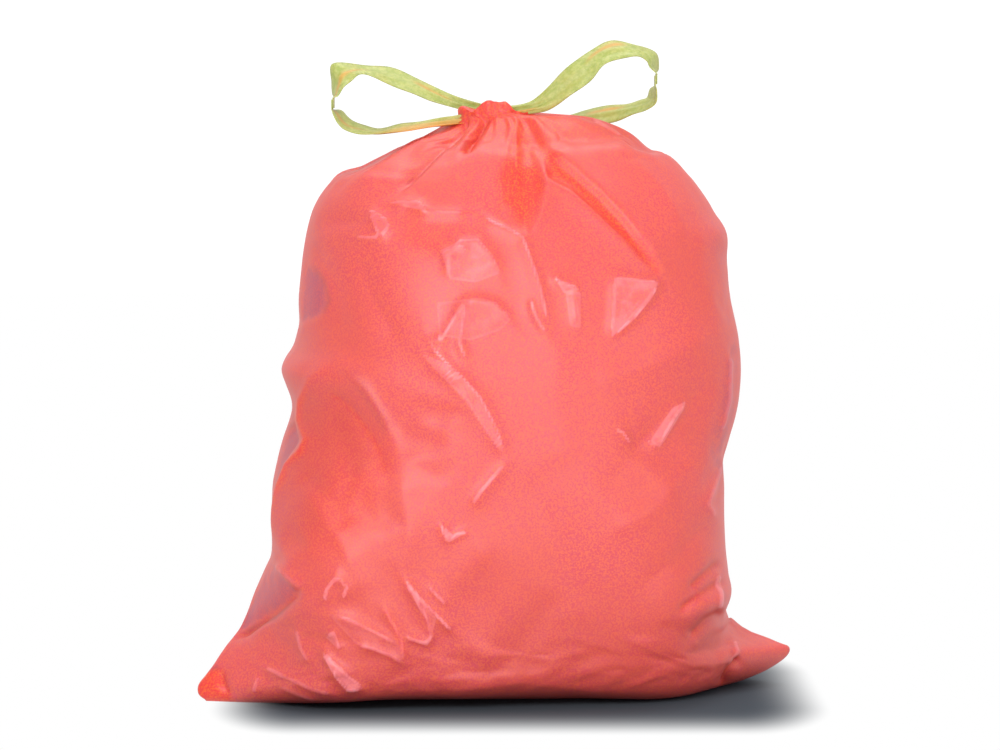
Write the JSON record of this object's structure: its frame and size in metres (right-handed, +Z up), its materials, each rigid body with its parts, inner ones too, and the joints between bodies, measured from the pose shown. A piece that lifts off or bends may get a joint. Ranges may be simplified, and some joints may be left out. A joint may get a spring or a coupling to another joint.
{
  "type": "garbage bag",
  "caption": "Filled film drawtape garbage bag standing on its base, its mouth gathered shut and a flat tape loop standing out on each side.",
  "frame": {"origin": "centre of the bounding box, on the floor that the bag stands on", "axes": "+Z up, front towards -Y, the bottom seal and the tape loops along X"},
  "size_m": [0.567, 0.3144, 0.6191],
  "materials": {
    "film": "satin, slightly see-through film",
    "drawtape": "satin film tape"
  },
  "bodies": {
    "root": {"film_bag": "film", "front_tape": "drawtape", "back_tape": "drawtape"}
  },
  "joints": []
}
